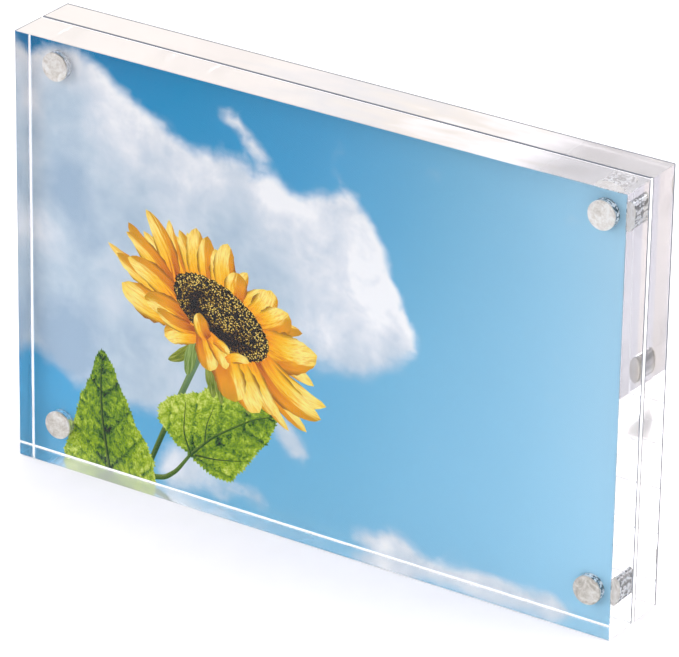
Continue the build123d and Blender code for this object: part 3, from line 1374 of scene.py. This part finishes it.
def glue_rings(bm, side, corner):
    """The glue's four rings: up the pocket's wall, over the collar, down the magnet's side."""
    glue_low, glue_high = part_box(f"adhesive_{side}_{corner}")
    magnet_low, magnet_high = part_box(f"magnet_{side}_{corner}")
    centre = (glue_low + glue_high) / 2
    outer = (glue_high.z - glue_low.z) / 2 + GLUE_OVERLAP
    inner = (magnet_high.z - magnet_low.z) / 2
    out = FACES_OUT[side].y
    bottom = (glue_low.y if out > 0 else glue_high.y) - out * GLUE_OVERLAP
    seat = magnet_low.y if out > 0 else magnet_high.y
    seed = Vector((SIDES.index(side) * 7.0, CORNERS.index(corner) * 3.0, 0.0))
    rings = [[] for _ in range(4)]
    for way in round_ways(GLUE_SEGMENTS):
        rise = GLUE_COLLAR * (0.75 + 0.5 * noise.noise(way * 1.6 + seed))
        for ring, radius, y in (
            (rings[0], outer, bottom),
            (rings[1], outer, seat + out * rise),
            (rings[2], inner, seat + out * rise * 0.85),
            (rings[3], inner, seat),
        ):
            ring.append(bm.verts.new((centre.x + way.x * radius, y, centre.z + way.z * radius)))
    return rings


def build_glue(side, corner, material):
    """The glue under one magnet: a disc that wets the pocket, and an uneven collar."""
    bm = bmesh.new()
    rings = glue_rings(bm, side, corner)
    for first, second in zip(rings, rings[1:]):
        bridge(bm, first, second)
    bm.faces.new(rings[0])
    bm.faces.new(rings[3])

    name = f"glue_{side}_{corner}"
    obj = new_object(name, mesh_from(bm, name, [material]))
    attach(obj, side)
    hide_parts(f"adhesive_{side}_{corner}")


# ---------------------------------------------------------------- studio

FLOOR_RADIUS = 3.0
FLOOR_DROP = 0.05 * MM
FLOOR_SEGMENTS = 96
FLOOR_LOW = (0.59, 0.585, 0.61, 1.0)
FLOOR_HIGH = (0.61, 0.605, 0.63, 1.0)
FLOOR_GLOW = 0.18
SWEEP_COLOUR = (1.2, 1.2, 1.2, 1.0)
ROOM_COLOUR = (0.22, 0.24, 0.30, 1.0)
# Soft boxes: azimuth span, elevation span and softness in degrees, then the light.
SOFTBOXES = (
    ((-178, 178), (60, 90), 12, (2.2, 2.2, 2.3, 1.0)),
    ((-85, -15), (0, 35), 6, (4.2, 4.25, 4.4, 1.0)),
    ((58, 100), (0, 35), 6, (3.2, 3.2, 3.3, 1.0)),
    ((110, 150), (30, 62), 12, (4.5, 4.3, 4.1, 1.0)),
    ((-175, -120), (12, 42), 10, (1.9, 1.8, 1.75, 1.0)),
    ((8, 56), (2, 36), 8, (1.5, 1.5, 1.55, 1.0)),
)

# Azimuth from straight in front, elevation and roll, in degrees, and the long lens.
CAMERA_ANGLES = (32.88, 25.15, 0.93)
CAMERA_DISTANCE = 1.0985
# Where the camera aims, in parts of the frame: right of its middle, and up from its foot.
CAMERA_AIM_X = 0.0529
CAMERA_AIM_Z = 0.5275
SENSOR_WIDTH = 36.0
LENS_LENGTH = 276.65


def build_floor():
    """A plain white light table under the frame, a hair below its feet."""
    nodes = material_nodes("floor_white")
    grain = nodes.noise(nodes.object_place(), 90.0, detail=5.0)
    material = nodes.surface(
        Base_Color=nodes.ramp(grain, ((0.3, FLOOR_LOW), (0.7, FLOOR_HIGH))),
        Roughness=0.9,
        Specular_IOR_Level=0.0,
        Emission_Color=WHITE,
        Emission_Strength=FLOOR_GLOW,
    )
    bm = bmesh.new()
    bmesh.ops.create_circle(bm, cap_ends=True, segments=FLOOR_SEGMENTS, radius=FLOOR_RADIUS)
    floor = new_object("floor", mesh_from(bm, "floor", [material]))
    floor.location.z = cad_low.z - FLOOR_DROP


def soft_patch(nodes, way, spans, softness):
    """A light patch in the sky: 1 where both of a way's degrees are in their spans, else 0."""
    inside = []
    for value, (start, end) in zip(way, spans):
        inside.append(nodes.span(value, start - softness, start, smooth=True))
        inside.append(nodes.span(value, end + softness, end, smooth=True))
    return nodes.product(*inside)


def azimuth_and_elevation(nodes, parts):
    """Degrees round from straight in front, towards the right, and degrees up."""
    forward = nodes.product(parts["Y"], -1.0)
    around = nodes.math("ARCTAN2", parts["X"], forward)
    up = nodes.math("ARCSINE", parts["Z"])
    return nodes.math("DEGREES", around), nodes.math("DEGREES", up)


def build_world():
    """The studio: a white sweep behind, soft boxes, and a dark room behind the camera."""
    world = bpy.data.worlds.new("studio")
    bpy.context.scene.world = world
    nodes = Nodes(world)
    parts = nodes.axes(nodes.add("TexCoord").outputs["Generated"])
    way = azimuth_and_elevation(nodes, parts)
    behind = nodes.span(parts["Y"], -0.3, 0.0, smooth=True)
    colour = nodes.mix(behind, ROOM_COLOUR, SWEEP_COLOUR)
    for azimuth, elevation, softness, light in SOFTBOXES:
        shape = soft_patch(nodes, way, (azimuth, elevation), softness)
        colour = nodes.mix(shape, colour, light)
    background = nodes.add("Background")
    nodes.put(background.inputs["Color"], colour)
    output = nodes.add("OutputWorld")
    nodes.put(output.inputs["Surface"], background.outputs[0])


def build_camera():
    """A long lens from the front right, a little above the frame."""
    azimuth, elevation, roll = (math.radians(angle) for angle in CAMERA_ANGLES)
    level_part = math.cos(elevation)
    back = Vector((math.sin(azimuth) * level_part, -math.cos(azimuth) * level_part,
                   math.sin(elevation)))
    size = cad_high - cad_low
    middle_x = (cad_low.x + cad_high.x) / 2
    target = Vector((middle_x + CAMERA_AIM_X * size.x, cad_low.y,
                     cad_low.z + CAMERA_AIM_Z * size.z))
    data = bpy.data.cameras.new("camera")
    data.sensor_width = SENSOR_WIDTH
    data.lens = LENS_LENGTH
    camera = new_object("camera", data)
    camera.location = target + back * CAMERA_DISTANCE
    camera.rotation_mode = "QUATERNION"
    level = back.to_track_quat("Z", "Y")
    camera.rotation_quaternion = level @ Matrix.Rotation(roll, 3, "Z").to_quaternion()
    bpy.context.scene.camera = camera


# ---------------------------------------------------------------- make everything

build_camera()
build_world()
build_floor()

scene = bpy.context.scene
scene.view_settings.view_transform = "Standard"
scene.cycles.max_bounces = 32
scene.cycles.transmission_bounces = 24
scene.cycles.glossy_bounces = 24

nickel = nickel_material()
glue = glue_material()
for side in SIDES:
    build_block(side, acrylic_set(side))
    for corner in CORNERS:
        build_glue(side, corner, glue)
        paint(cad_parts[f"magnet_{side}_{corner}"], nickel)
build_picture()
